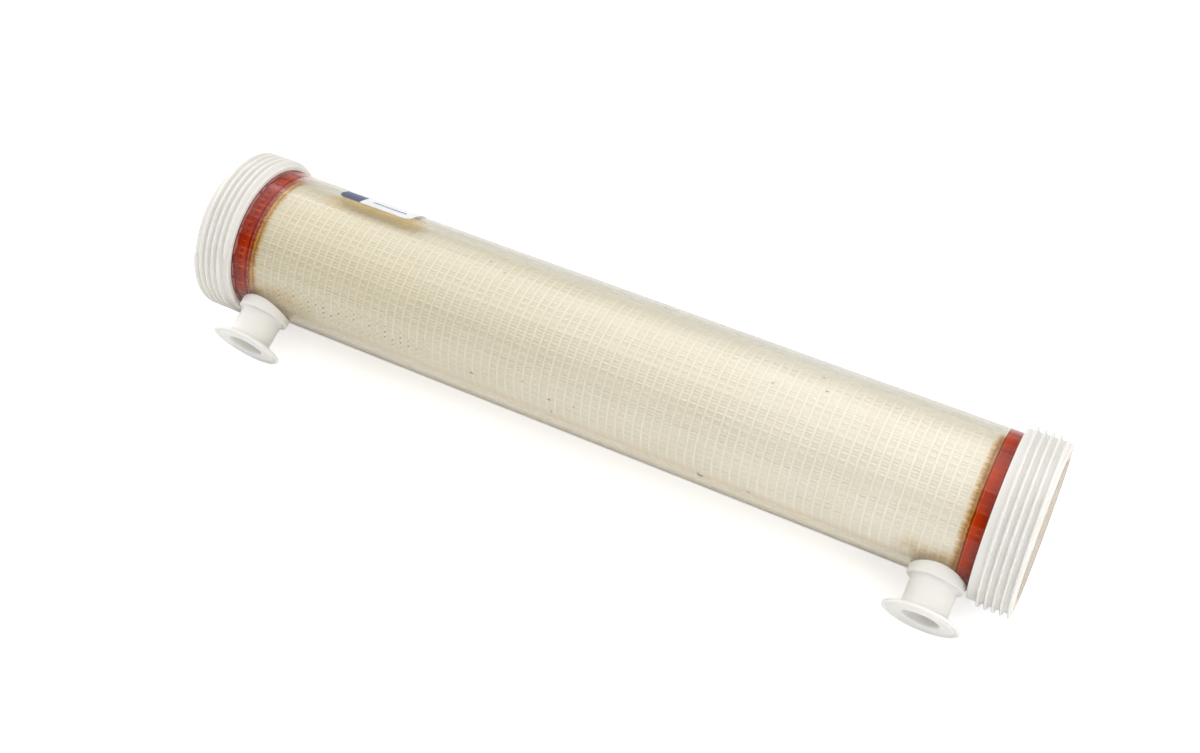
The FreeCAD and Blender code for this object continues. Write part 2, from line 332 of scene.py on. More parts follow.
# Fibre bundle: some thousand hollow fibres of off-white porous plastic, laid side by side along
# the tube. Where they enter the resin at each end they have drawn up an uneven fringe of it.
bundle_low, bundle_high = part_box("fiber_bundle")
BUNDLE_RADIUS = (bundle_high.z - bundle_low.z) / 2
FIBRE_WIDTH = 2.0 * MM
FIBRE_RISE = 0.35 * MM
FIBRE_BACKS = round(2 * pi * BUNDLE_RADIUS / FIBRE_WIDTH)
POINTS_A_BACK = 4
BUNDLE_STATIONS = 60
BUNDLE_TUCK = 2.2 * MM
HOOP_PITCH = 6.3 * MM
STRANDS = 66
STRANDS_A_RADIAN = STRANDS / (2 * pi)
HOOP_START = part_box("netting_sleeve")[0].x
# Painted shade: fibres and net darker and yellower towards the left end, where less light falls.
PAINTED_LEFT_SHADE = (-0.26, 0.22)
BEHIND_LABEL = (-0.230, -0.156, 95, 118)
# Painted shade along the lower edge of fibres and net, tan and darker, for the shadowed floor seen in the
# tube's lower wall.
PAINTED_LOW_SHADE = (-0.262, 0.262, -60, -22)
DOTTED = (-0.236, -0.118, -9, 8)


def dotted(look, body):
    """Body colour with small round stains, one in some of the net's openings low on the left part."""
    row = look.math("FRACT", look.times(look.turn(), STRANDS_A_RADIAN))
    from_start = look.math("SUBTRACT", look.axes()[0], HOOP_START)
    column = look.math("FRACT", look.math("DIVIDE", from_start, HOOP_PITCH))
    off_row = look.times(look.math("SUBTRACT", row, 0.5), BUNDLE_RADIUS / STRANDS_A_RADIAN)
    off_column = look.times(look.math("SUBTRACT", column, 0.5), HOOP_PITCH)
    dot = look.less(look.span(look.distance(off_row, off_column), 0.5 * MM, 0.9 * MM))
    some = look.span(look.noise(95, 2), 0.42, 0.5)
    place = look.times(dot, some, look.patch(*DOTTED, 9 * MM, radians(3)))
    return look.stain(body, place, 0.95, tint(88, 60, 30))


def stained_and_shaded(look, body, left_shade, low, by_port):
    """Body colour with the stains and painted shade that fibres and net share, each given as its share and
    colour: painted shade darker to the left and along the lower edge, a tan stain behind the label and tan
    clouds by each port.
    """
    stains_and_shade = [
        (look.less(look.span(look.axes()[0], *PAINTED_LEFT_SHADE)), *left_shade),
        (look.patch(*BEHIND_LABEL, 8 * MM), 0.5, tint(236, 208, 150)),
        (look.patch(*PAINTED_LOW_SHADE, 9 * MM, radians(9)), *low),
    ]
    for spot in PORT_PLACES.values():
        near = look.patch(spot - 26 * MM, spot + 24 * MM, -50, 0, 8 * MM, radians(10))
        stains_and_shade.append((look.times(near, look.span(look.noise(70), 0.3, 0.7)), *by_port))
    for place, share, colour in stains_and_shade:
        body = look.stain(body, place, share, colour)
    return body


def fibre_look():
    """Off-white fibres, each a shade apart, darker and yellower to the left and along the lower edge as
    painted shade, and browned by the resin at both ends.
    """
    look = Finish("fibres", Roughness=0.62)
    along = look.axes()[0]
    streaks = look.noise(700, 2, (0.03, 1, 1))
    body = look.ramp(streaks, (0.3, tint(242, 240, 234)), (0.7, tint(250, 248, 242)))
    body = look.stain(body, look.span(look.noise(22, 4), 0.5, 0.75), 0.3, tint(240, 234, 214))
    # Shares and colours: painted shade to the left, painted shade along the lower edge, tints near the ports.
    stains_and_shade = ((0.85, tint(224, 218, 196)), (0.6, tint(226, 192, 144)), (0.8, tint(216, 182, 120)))
    body = stained_and_shaded(look, body, *stains_and_shade)
    fringe = look.times(look.noise(560, 2, (0.05, 1, 1)), 7.5 * MM)
    reach = look.math("ADD", fringe, look.times(look.noise(60), 3.0 * MM))
    for face, sign in ((bundle_low.x, 1), (bundle_high.x, -1)):
        depth = look.times(look.math("SUBTRACT", along, face), sign)
        left_over = look.math("SUBTRACT", reach, depth)
        body = look.stain(body, look.span(left_over, 1.8 * MM, 4.4 * MM), 0.7, tint(216, 180, 108))
        body = look.stain(body, look.span(left_over, 4.2 * MM, 6.4 * MM), 0.75, tint(166, 108, 38))
    look.colour(dotted(look, body))
    look.bump(streaks, 0.05 * MM, 0.6)
    return look.material


bundle = bmesh.new()
rim = bmesh.ops.create_circle(bundle, segments=FIBRE_BACKS * POINTS_A_BACK, radius=BUNDLE_RADIUS)["verts"]
bmesh.ops.rotate(bundle, verts=rim, cent=(0, 0, 0), matrix=Matrix.Rotation(pi / 2, 3, "Y"))
for point in rim:
    turn = atan2(point.co.z, point.co.y)
    phase = (turn * FIBRE_BACKS / (2 * pi)) % 1 * 2 - 1
    point.co *= 1 - FIBRE_RISE * (1 - sqrt(max(0, 1 - phase * phase))) / BUNDLE_RADIUS
bundle_length = bundle_high.x - bundle_low.x + 2 * BUNDLE_TUCK
bmesh.ops.spin(
    bundle, geom=bundle.edges[:], cent=(0, 0, 0), axis=(1, 0, 0), angle=0, steps=BUNDLE_STATIONS,
    dvec=(bundle_length / BUNDLE_STATIONS, 0, 0),
)
bmesh.ops.translate(bundle, verts=bundle.verts, vec=(bundle_low.x - BUNDLE_TUCK, 0, 0))
for point in bundle.verts:
    sway = noise.noise(Vector((point.co.x * 14, point.co.y * 160, point.co.z * 160)))
    point.co += Vector((0, -point.co.z, point.co.y)).normalized() * sway * 0.5 * MM
bmesh.ops.recalc_face_normals(bundle, faces=bundle.faces)
fibres = made("fibre_backs", bundle, fibre_look(), sharp=60)
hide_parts("fiber_bundle")

# Netting sleeve: a soft extruded net drawn over the fibres to keep them together. Flat hoops run
# round the bundle, and between them short thick stretches of the long strands stand up.
net_low, net_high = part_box("netting_sleeve")
NET_BASE = BUNDLE_RADIUS + 0.1 * MM
DASH_LENGTH = 4.0 * MM
DASH_WIDTH = 1.3 * MM
DASH_HEIGHT = 0.3 * MM
DASH_TOP_LENGTH = 0.78
DASH_TOP_WIDTH = 0.2
HOOP_WIDTH = 1.6 * MM
HOOP_HEIGHT = 0.1 * MM


def net_look():
    """Milky net that has taken a little amber near the resin and in tan patches, with painted shade darker to
    the left and along its lower edge.
    """
    look = Finish("netting", Roughness=0.4)
    body = look.ramp(look.noise(26), (0.35, tint(253, 253, 249)), (0.75, tint(249, 247, 239)))
    # Shares and colours: painted shade to the left, painted shade along the lower edge, tints near the ports.
    stains_and_shade = ((0.75, tint(232, 228, 212)), (0.5, tint(228, 196, 150)), (0.7, tint(220, 190, 130)))
    body = stained_and_shaded(look, body, *stains_and_shade)
    for face, sign in ((net_low.x, 1), (net_high.x, -1)):
        depth = look.times(look.math("SUBTRACT", look.axes()[0], face), sign)
        body = look.stain(body, look.less(look.span(depth, 0.0, 5 * MM)), 0.55, tint(206, 164, 92))
    look.colour(dotted(look, body))
    look.bump(look.noise(900, 2), 0.03 * MM, 0.4)
    return look.material


def netting(start, end):
    """Hoops and raised stretches of strand from start to end, as many rows as fit."""
    rows = int((end - start) / HOOP_PITCH)
    first = (start + end - (rows - 1) * HOOP_PITCH) / 2
    net = bmesh.new()
    dash = bmesh.ops.create_cube(net, size=1)["verts"]
    bmesh.ops.scale(net, verts=dash, vec=(DASH_LENGTH, DASH_WIDTH, DASH_HEIGHT))
    for point in dash:
        if point.co.z > 0:
            point.co.x *= DASH_TOP_LENGTH
            point.co.y *= DASH_TOP_WIDTH
    bmesh.ops.translate(net, verts=dash, vec=(first, 0, NET_BASE + DASH_HEIGHT / 2))
    bmesh.ops.spin(
        net, geom=net.faces[:], cent=(0, 0, 0), axis=(1, 0, 0), angle=2 * pi * (STRANDS - 1) / STRANDS,
        steps=STRANDS - 1, use_duplicate=True,
    )
    half = HOOP_WIDTH / 2
    middle = first + HOOP_PITCH / 2
    top = NET_BASE + HOOP_HEIGHT
    section = [(middle - half, NET_BASE), (middle - half * 0.6, top), (middle + half * 0.6, top),
               (middle + half, NET_BASE)]
    take_in(net, turned(section, STRANDS * 2))
    repeated(net, rows - 1, HOOP_PITCH)
    for point in net.verts:
        drift = noise.noise_vector(point.co * 35)
        side = Vector((0, -point.co.z, point.co.y)).normalized()
        point.co += side * drift.x * 0.7 * MM + Vector((drift.y * 0.5 * MM, 0, 0))
    bmesh.ops.recalc_face_normals(net, faces=net.faces)
    return net


sleeve = made("net", netting(net_low.x + 1 * MM, net_high.x - 1 * MM), net_look(), sharp=50)
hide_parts("netting_sleeve")

# Potting: red-brown resin cast round the fibres and the net in each end of the tube, and cut
# flush with it. It wets the tube's wall, so its skin shows through as a glossy red band with
# the embedded net as darker windows, and it ends in fine lines where it first began to set.
RESIN_SKIN = TUBE_INSIDE + 0.04 * MM
BLOCK_SUNK = 1.1 * MM
EDGE_STEPS = 720


def resin_look():
    """Deep red-brown resin, clouded, with the net's windows dark in it and its strands lighter."""
    look = Finish("potting", Roughness=0.4, Specular_IOR_Level=0.0)
    along = look.axes()[0]
    cloudy = look.noise(45, 4)
    body = look.ramp(cloudy, (0.3, tint(164, 38, 0)), (0.6, tint(202, 60, 0)), (0.8, tint(224, 92, 2)))
    loose = look.noise(180)
    row = look.math("FRACT", look.math("ADD", look.times(look.turn(), STRANDS_A_RADIAN), 0.5))
    column = look.math("FRACT", look.math("DIVIDE", look.math("SUBTRACT", along, HOOP_START), HOOP_PITCH))
    opening = look.times(look.between(row, 0.31, 0.79, 0.05), look.between(column, 0.32, 0.66, 0.04))
    window = look.times(opening, look.span(loose, 0.36, 0.56))
    clearer = look.less(look.times(look.span(along, -0.1, 0.1), 0.6))
    body = look.stain(body, look.times(window, clearer), 0.72, tint(96, 10, 1))
    strand = look.times(look.less(look.span(row, 0.1, 0.24)), look.span(loose, 0.4, 0.6))
    look.colour(look.stain(body, look.times(strand, clearer), 0.55, tint(232, 112, 18)))
    return look.material


def line_look(name, dark, light):
    """Thin line of resin that set on its own, uneven in shade."""
    look = Finish(name, Roughness=0.5, Specular_IOR_Level=0.0)
    look.colour(look.ramp(look.noise(300), (0.35, dark), (0.65, light)))
    return look.material


def wander(point, size):
    """How far the resin's edge strays along the tube at a point round it."""
    return (noise.noise(Vector((3, point.co.y * 800, point.co.z * 800))) * 0.9
            + noise.noise(Vector((9, point.co.y * 60, point.co.z * 60)))) * size


def end_block(name, near, stops, radius, materials, stray):
    """Round block from a flat face to a wandering edge, with a band of its own material before each stop."""
    outline = [(near, 0), (near, radius), *[(stop, radius) for stop in stops], (stops[-1], 0)]
    block = turned(outline, EDGE_STEPS)
    way = 1 if stops[-1] > near else -1
    for face in block.faces:
        middle = face.calc_center_median()
        if hypot(middle.y, middle.z) > radius * 0.9:
            face.material_index = sum(1 for stop in stops[:-1] if (middle.x - stop) * way > 0)
    for point in block.verts:
        at_stop = min(abs(point.co.x - stop) for stop in stops) < CLOSE
        if at_stop and hypot(point.co.y, point.co.z) > radius / 2:
            point.co.x += wander(point, stray)
    return made(name, block, *materials, sharp=30)


resin = resin_look()
dark_line = line_look("resin_dark_line", tint(44, 12, 3), tint(104, 44, 10))
bright_line = line_look("resin_bright_line", tint(190, 82, 14), tint(222, 120, 36))
maroon_line = line_look("resin_maroon_line", tint(110, 18, 8), tint(150, 40, 20))
pink_line = line_look("resin_pink_line", tint(168, 92, 62), tint(196, 128, 96))
left_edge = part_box("left_potting")[1].x
right_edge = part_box("right_potting")[0].x
left_stops = [left_edge - 2.6 * MM, left_edge - 1.4 * MM, left_edge - 0.5 * MM, left_edge]
right_stops = [right_edge + 1.3 * MM, right_edge + 1.0 * MM, right_edge + 0.4 * MM, right_edge]
left_block = end_block(
    "left_potting_block", -HALF_LENGTH + BLOCK_SUNK, left_stops, RESIN_SKIN,
    (resin, maroon_line, resin, pink_line), 0.25 * MM,
)
right_block = end_block(
    "right_potting_block", HALF_LENGTH - BLOCK_SUNK, right_stops, RESIN_SKIN,
    (resin, bright_line, resin, dark_line), 0.4 * MM,
)

# Cut fibre ends: sawn flush with the tube's ends, each fibre shows as a pale ring with a dark bore,
# packed tightly in the resin. The bores' dark brown is painted shade in the hollow fibres.
FIBRE_PITCH = 2.0 * MM
FIBRE_OUTSIDE = 0.86 * MM
FIBRE_BORE = 0.42 * MM
BORE_DEPTH = 0.8 * MM
PLATE_RADIUS = 46.4 * MM
RIM_SUNK = 0.15 * MM
RIM_BACK = 1.2 * MM
RIM_STEPS = 144


def cut_look(name, dark, light):
    """Sawn face, a little uneven in shade."""
    look = Finish(name, Roughness=0.55)
    look.colour(look.clouds(500, dark, light))
    return look.material


sawn_resin = cut_look("sawn_resin", tint(216, 188, 160), tint(230, 206, 182))
sawn_fibre = cut_look("sawn_fibre", tint(232, 224, 208), tint(243, 237, 225))
# Painted shade: the fibres' open bores coloured dark brown.
fibre_bore = cut_look("fibre_bore", tint(112, 82, 64), tint(142, 110, 88))


def fibre_cell():
    """One fibre's cut end in its six-sided share of the resin, as a mesh on Z = 0."""
    cell = bmesh.new()
    bmesh.ops.create_circle(
        cell, cap_ends=True, segments=6, radius=FIBRE_PITCH / sqrt(3), matrix=Matrix.Rotation(pi / 6, 4, "Z")
    )
    bmesh.ops.subdivide_edges(cell, edges=cell.edges[:], cuts=1)
    cell.faces.ensure_lookup_table()
    middle = cell.faces[0]
    for reach in (FIBRE_OUTSIDE, FIBRE_BORE):
        bmesh.ops.inset_individual(cell, faces=[middle], thickness=0.1 * MM, use_even_offset=False)
        for point in middle.verts:
            point.co *= reach / point.co.length
    well = bmesh.ops.extrude_face_region(cell, geom=[middle])["geom"]
    for part in well:
        if isinstance(part, bmesh.types.BMVert):
            part.co.z -= BORE_DEPTH
    bmesh.ops.delete(cell, geom=[middle], context="FACES_ONLY")
    for face in cell.faces:
        reach = face.calc_center_median().length
        deep = min(point.co.z for point in face.verts) < -0.1 * MM
        face.material_index = 2 if deep else 1 if reach < FIBRE_OUTSIDE * 0.85 else 0
    bmesh.ops.recalc_face_normals(cell, faces=cell.faces)
    return mesh_of("fibre_cell", cell)


def fibre_plate(side):
    """Honeycomb plate of sawn fibres in resin, facing out of one end of the tube."""
    one = fibre_cell()
    row_step = FIBRE_PITCH * sqrt(3) / 2
    rows = int(PLATE_RADIUS / row_step)
    whole = bmesh.new()
    for row in range(-rows, rows + 1):
        height = row * row_step
        shift = FIBRE_PITCH / 2 if row % 2 else 0
        room = sqrt(max(0, (PLATE_RADIUS - FIBRE_PITCH * 0.6) ** 2 - height * height))
        first = ceil((-room - shift) / FIBRE_PITCH)
        last = -ceil((-room + shift) / FIBRE_PITCH)
        if last < first:
            continue
        strip = bmesh.new()
        strip.from_mesh(one)
        bmesh.ops.translate(strip, verts=strip.verts, vec=(first * FIBRE_PITCH + shift, height, 0))
        if last > first:
            repeated(strip, last - first, FIBRE_PITCH)
        take_in(whole, strip)
    bpy.data.meshes.remove(one)
    face_out = Matrix.Rotation(SIDES[side] * pi / 2, 3, "Y")
    bmesh.ops.rotate(whole, verts=whole.verts, cent=(0, 0, 0), matrix=face_out)
    bmesh.ops.translate(whole, verts=whole.verts, vec=(SIDES[side] * HALF_LENGTH, 0, 0))
    return made(side + "_cut_fibres", whole, sawn_resin, sawn_fibre, fibre_bore, sharp=20)


for side, block in (("left", left_block), ("right", right_block)):
    cut_fibres = fibre_plate(side)
    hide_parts(side + "_potting")
    face = SIDES[side] * (HALF_LENGTH - RIM_SUNK)
    back = SIDES[side] * (HALF_LENGTH - RIM_BACK)
    section = [(back, 0), (back, RESIN_SKIN), (face, RESIN_SKIN), (face, 44.6 * MM), (back, 44.0 * MM)]
    skin_ring = made(side + "_sawn_rim", turned(section, RIM_STEPS), sawn_resin)

# Resin overlay: a thin softer layer of amber resin poured over each potting. It has crept along
# the fibres in a ragged fringe of fine points.


def creeping_look(name, root, tip, stops, size=620):
    """Resin that thins out along the fibres: its colour goes through the stops from root to tip."""
    look = Finish(name, Roughness=0.45, Specular_IOR_Level=0.1)
    streaks = look.noise(size, 2, (0.04, 1, 1))
    depth = look.math("DIVIDE", look.math("SUBTRACT", look.axes()[0], root), tip - root)
    depth = look.math("ADD", depth, look.times(look.math("SUBTRACT", streaks, 0.5), 1.2))
    look.colour(look.ramp(depth, *stops))
    return look.material


FRINGE_POINTS = 560
FRINGE_ROOT = 0.26 * MM
FRINGE_TIP = 0.03 * MM
LAYER_SUNK = 1.2 * MM
HONEY_STOPS = ((0.1, tint(142, 76, 14)), (0.45, tint(190, 122, 34)), (0.9, tint(214, 166, 84)))
FRINGE_STOPS = ((0.0, tint(176, 112, 36)), (0.35, tint(210, 162, 84)), (1.0, tint(238, 220, 176)))
points_random = random.Random(7)
for side, crept in (("left", 0.3 * MM), ("right", 1.4 * MM)):
    sign = SIDES[side]
    low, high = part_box(side + "_resin_overlay")
    near, far = (low.x, high.x) if side == "left" else (high.x, low.x)
    far += sign * crept
    layer = end_block(
        side + "_honey_layer", near + sign * LAYER_SUNK, [far], BUNDLE_RADIUS + 0.5 * MM,
        (creeping_look(side + "_resin_overlay", near, far, HONEY_STOPS),), 1.2 * MM,
    )
    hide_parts(side + "_resin_overlay")
    fringe = bmesh.new()
    for number in range(FRINGE_POINTS):
        length = 1.4 * MM + 3.4 * MM * points_random.random() ** 1.6
        spot = Matrix.Rotation(2 * pi * (number + points_random.random() * 0.7) / FRINGE_POINTS, 4, "X")
        reach = BUNDLE_RADIUS + points_random.uniform(0.0, 0.5) * MM
        placed = Matrix.Translation((far - sign * (length / 2 - 0.4 * MM), 0, reach))
        lie = Matrix.Rotation(-sign * pi / 2, 4, "Y") @ Matrix.Diagonal((0.45, 1, 1, 1))
        bmesh.ops.create_cone(
            fringe, cap_ends=True, segments=6, radius1=FRINGE_ROOT, radius2=FRINGE_TIP, depth=length,
            matrix=spot @ placed @ lie,
        )
    fringe_resin = creeping_look(side + "_resin_fringe", far, far - sign * 5 * MM, FRINGE_STOPS, 240)
    points = made(side + "_resin_fringe", fringe, fringe_resin)

# End collars: white rings moulded with a coarse right-hand thread of five turns, cemented over
# the tube's two ends. A cap or a pipe union screws onto them.
COLLAR_BORE = TUBE_OUTSIDE + 0.1 * MM
COLLAR_LENGTH = 29 * MM
THREAD_ROOT = 56.3 * MM
THREAD_HEIGHT = 2.7 * MM
THREAD_PITCH = 4.9 * MM
THREAD_TURNS = 5
RIDGE_FOOT = 1.25 * MM
RIDGE_CREST = 0.65 * MM
RIDGE_ROUNDING = 0.5 * MM
LEAD_IN = radians(7)
RUN_OUT = radians(14)
THREAD_STARTS = {"left": radians(17), "right": radians(-56)}
SPARE_TURNS = 2
CUT_OFF_DEPTH = 3 * MM
THREAD_WELD = 0.004 * MM
STEPS_A_TURN = 180
EDGE_ROUNDING = 0.8 * MM
CORNER_STEPS = 4


def white_plastic(name, light, dark):
    """White moulding, satin, very slightly clouded and soft to light at its thin edges."""
    look = Finish(
        name, Roughness=0.38, IOR=1.5, Subsurface_Weight=0.35, Subsurface_Scale=5 * MM,
        Subsurface_Radius=(1.0, 0.85, 0.65),
    )
    look.colour(look.clouds(30, light, dark))
    return look.material


collar_white = white_plastic("collar_moulding", tint(236, 234, 229), tint(231, 228, 222))


def ridge_section(bm):
    """One pitch of the thread's outline, from root to root, with rounded corners."""
    half = THREAD_PITCH / 2
    deep = -CUT_OFF_DEPTH
    corners = [(-half, deep), (-half, 0), (-RIDGE_FOOT, 0), (-RIDGE_CREST, THREAD_HEIGHT),
               (RIDGE_CREST, THREAD_HEIGHT), (RIDGE_FOOT, 0), (half, 0), (half, deep)]
    points = [bm.verts.new((along, 0, THREAD_ROOT + rise)) for along, rise in corners]
    bm.faces.new(points)
    bmesh.ops.bevel(
        bm, geom=points[2:6], offset=RIDGE_ROUNDING, segments=4, profile=0.5, affect="VERTICES", material=-1
    )
    bmesh.ops.delete(bm, geom=bm.faces[:], context="FACES_ONLY")
    low = [point for point in bm.verts if point.co.z < THREAD_ROOT + deep / 2]
    bmesh.ops.delete(bm, geom=low, context="VERTS")


def fade(theta):
    """Share of the ridge's full height at a turn of the thread."""
    rise = min(theta / LEAD_IN, (THREAD_TURNS * 2 * pi - theta) / RUN_OUT, 1)
    return sqrt(1 - (1 - max(rise, 0)) ** 2)


def threaded_skin():
    """The collar's outside as one helical ribbon, trimmed square at both ends."""
    bm = bmesh.new()
    ridge_section(bm)
    bmesh.ops.spin(
        bm, geom=bm.edges[:], cent=(0, 0, 0), axis=(1, 0, 0), angle=2 * pi,
        steps=STEPS_A_TURN, dvec=(THREAD_PITCH / STEPS_A_TURN, 0, 0),
    )
    bmesh.ops.translate(bm, verts=bm.verts, vec=(-SPARE_TURNS * THREAD_PITCH, 0, 0))
    repeated(bm, THREAD_TURNS + 2 * SPARE_TURNS - 1, THREAD_PITCH)
    bmesh.ops.remove_doubles(bm, verts=bm.verts, dist=THREAD_WELD)
    for point in bm.verts:
        turn = atan2(-point.co.y, point.co.z)
        whole = round((point.co.x / THREAD_PITCH * 2 * pi - turn) / (2 * pi))
        theta = turn + whole * 2 * pi
        middle = THREAD_PITCH * theta / (2 * pi)
        share = fade(theta)
        reach = hypot(point.co.y, point.co.z)
        ridge_reach = THREAD_ROOT + (reach - THREAD_ROOT) * share
        off = point.co.x - middle
        if abs(off) < RIDGE_FOOT + RIDGE_ROUNDING:
            off *= 0.3 + 0.7 * share
        point.co = Vector((middle + off + RIDGE_FOOT, point.co.y * ridge_reach / reach,
                           point.co.z * ridge_reach / reach))
    for cut_at, way in ((EDGE_ROUNDING, -1), (COLLAR_LENGTH - EDGE_ROUNDING, 1)):
        bmesh.ops.bisect_plane(
            bm, geom=bm.verts[:] + bm.edges[:] + bm.faces[:], plane_co=(cut_at, 0, 0), plane_no=(way, 0, 0),
            clear_outer=True,
        )
    return bm


def rim_edges(bm, along):
    """Open edges at one place along the axis."""
    open_edges = [edge for edge in bm.edges if edge.is_boundary]
    return [edge for edge in open_edges if all(abs(v.co.x - along) < CLOSE for v in edge.verts)]


def grow_rim(bm, along, stations):
    """Carry an open rim on through stations of (along, reach), and give its last edges."""
    rim = rim_edges(bm, along)
    for place, reach in stations:
        new = bmesh.ops.extrude_edge_only(bm, edges=rim)["geom"]
        rim = [part for part in new if isinstance(part, bmesh.types.BMEdge) and part.is_boundary]
        for point in {v for edge in rim for v in edge.verts}:
            size = hypot(point.co.y, point.co.z)
            point.co = (place, point.co.y * reach / size, point.co.z * reach / size)
    return rim


def corner_arc(along, way):
    """Stations of a quarter round from the root circle down onto an end face."""
    stations = []
    for number in range(1, CORNER_STEPS + 1):
        turn = pi / 2 * number / CORNER_STEPS
        place = along + way * EDGE_ROUNDING * (sin(turn) - 1)
        stations.append((place, THREAD_ROOT - EDGE_ROUNDING * (1 - cos(turn))))
    return stations


def collar(side):
    """One collar with its outer end at x = 0, then turned onto its end of the tube."""
    bm = threaded_skin()
    outer = grow_rim(bm, EDGE_ROUNDING, corner_arc(0, -1) + [(0, COLLAR_BORE)])
    mouth = grow_rim(
        bm, COLLAR_LENGTH - EDGE_ROUNDING, corner_arc(COLLAR_LENGTH, 1) + [(COLLAR_LENGTH, COLLAR_BORE)]
    )
    bmesh.ops.bridge_loops(bm, edges=outer + mouth)
    bmesh.ops.recalc_face_normals(bm, faces=bm.faces)
    start = Matrix.Rotation(pi / 2 - THREAD_STARTS[side], 4, "X")
    about = Matrix.Rotation(0 if side == "left" else pi, 4, "Z")
    end = Matrix.Translation((SIDES[side] * HALF_LENGTH, 0, 0))
    bmesh.ops.transform(bm, matrix=end @ start @ about, verts=bm.verts)
    return bm


for side in SIDES:
    threaded = made(side + "_threaded_collar", collar(side), collar_white, sharp=40)
    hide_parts("end_collars")

# Glue beads: cement squeezed out at each collar's mouth. It has dried to a thin uneven clear rim,
# coloured as the resin's red under painted shadow from the collar's mouth, with a pale broken
# painted highlight along its free edge.
BEAD_FOOT = TUBE_OUTSIDE + 0.02 * MM
BEAD_HIDDEN = 0.5 * MM
BEAD_WIDTHS = {"left": 1.7 * MM, "right": 0.6 * MM}


def bead_and_shadow_look():
    """Resin red darkened by painted shadow near the collar, with a pale broken painted highlight at its free
    edge.
    """
    look = Finish("glue_bead", Roughness=0.22)
    off = look.math("SUBTRACT", HALF_LENGTH - COLLAR_LENGTH, look.math("ABSOLUTE", look.axes()[0]))
    # Painted highlight: the free edge pale and broken. The dark body colour below is painted shadow of the
    # collar's mouth.
    edge = look.times(look.span(off, 0.5 * MM, 0.9 * MM), look.span(look.noise(150, 4), 0.38, 0.55))
    look.colour(look.stain(tint(108, 30, 24), edge, 0.75, tint(176, 118, 114)))
    look.bump(look.noise(400), 0.1 * MM, 0.5)
    return look.material


cement_and_shadow = bead_and_shadow_look()
for side, width in BEAD_WIDTHS.items():
    inward = -SIDES[side]
    mouth = -inward * (HALF_LENGTH - COLLAR_LENGTH)
    hidden = mouth - inward * BEAD_HIDDEN
    section = [
        (hidden, BEAD_FOOT), (hidden, BEAD_FOOT + 0.6 * MM),
        (mouth + inward * width * 0.4, BEAD_FOOT + 0.5 * MM),
        (mouth + inward * width * 0.8, BEAD_FOOT + 0.22 * MM), (mouth + inward * width, BEAD_FOOT),
    ]
    bead = turned(section, WALL_STEPS)
    for point in bead.verts:
        if (point.co.x - mouth) * inward > 0.1 * MM:
            point.co.x += inward * noise.noise(Vector((point.co.y, point.co.z, 0)) * 130) * width * 0.45
    rim = made(side + "_glue_bead", bead, cement_and_shadow, sharp=60)

# Permeate ports: white mouldings, each a boss that fits the tube's curve, a neck and a clamp
# flange with a gasket groove in its face. Each is cemented into a hole in the tube's wall.
PORT_REACH = 82.2 * MM
BORE_RADIUS = 12 * MM
NECK_RADIUS = 15 * MM
BOSS_RADIUS = 18.5 * MM
BOSS_TOP = 57.4 * MM
SPIGOT_RADIUS = 14 * MM
SPIGOT_END = 48 * MM
FLANGE_RADIUS = 25.25 * MM
RIM_THICKNESS = 2 * MM
BACK_SLOPE = radians(20)
GROOVE_EDGES = (23.3 * MM, 20.3 * MM)
GROOVE_DEPTH = 1 * MM
GROOVE_SIDE = 0.8 * MM
PORT_STEPS = 128


def port(side):
    """Outline of the port turned on its axis, with its foot pressed onto the tube's curve."""
    slope = (FLANGE_RADIUS - NECK_RADIUS) * sin(BACK_SLOPE) / cos(BACK_SLOPE)
    rim_back = PORT_REACH - RIM_THICKNESS
    groove_out, groove_in = GROOVE_EDGES
    floor = PORT_REACH - GROOVE_DEPTH
    foot = TUBE_OUTSIDE
    corners = [
        (SPIGOT_END, BORE_RADIUS, 0.2), (SPIGOT_END, SPIGOT_RADIUS, 0.2), (foot, SPIGOT_RADIUS, 0),
        (foot, BOSS_RADIUS, 0), (BOSS_TOP, BOSS_RADIUS, 0.9), (BOSS_TOP, NECK_RADIUS, 1.1),
        (rim_back - slope, NECK_RADIUS, 1.6), (rim_back, FLANGE_RADIUS, 0.7),
        (PORT_REACH, FLANGE_RADIUS, 0.7), (PORT_REACH, groove_out, 0.35),
        (floor, groove_out - GROOVE_SIDE, 0.4),
        (floor, groove_in + GROOVE_SIDE, 0.4), (PORT_REACH, groove_in, 0.35), (PORT_REACH, BORE_RADIUS, 1.4),
    ]
    bm = bmesh.new()
    points = [bm.verts.new((reach, 0, width)) for reach, width, rounding in corners]
    bm.faces.new(points)
    for point, (reach, width, rounding) in zip(points, corners):
        if rounding:
            bmesh.ops.bevel(
                bm, geom=[point], offset=rounding * MM, segments=5, profile=0.5, affect="VERTICES",
                material=-1,
            )
    bmesh.ops.delete(bm, geom=bm.faces[:], context="FACES_ONLY")
    bmesh.ops.spin(
        bm, geom=bm.edges[:], cent=(0, 0, 0), axis=(1, 0, 0), angle=2 * pi, steps=PORT_STEPS, use_merge=True
    )
    bmesh.ops.remove_doubles(bm, verts=bm.verts, dist=WELD)
    bmesh.ops.rotate(bm, verts=bm.verts, cent=(0, 0, 0), matrix=Matrix.Rotation(-pi / 2, 3, "Y"))
    for point in bm.verts:
        if abs(point.co.z - foot) < CLOSE:
            point.co.z = sqrt(TUBE_OUTSIDE ** 2 - point.co.y ** 2) + 0.02 * MM
    bmesh.ops.recalc_face_normals(bm, faces=bm.faces)
    bmesh.ops.transform(bm, matrix=port_turn(side), verts=bm.verts)
    return bm


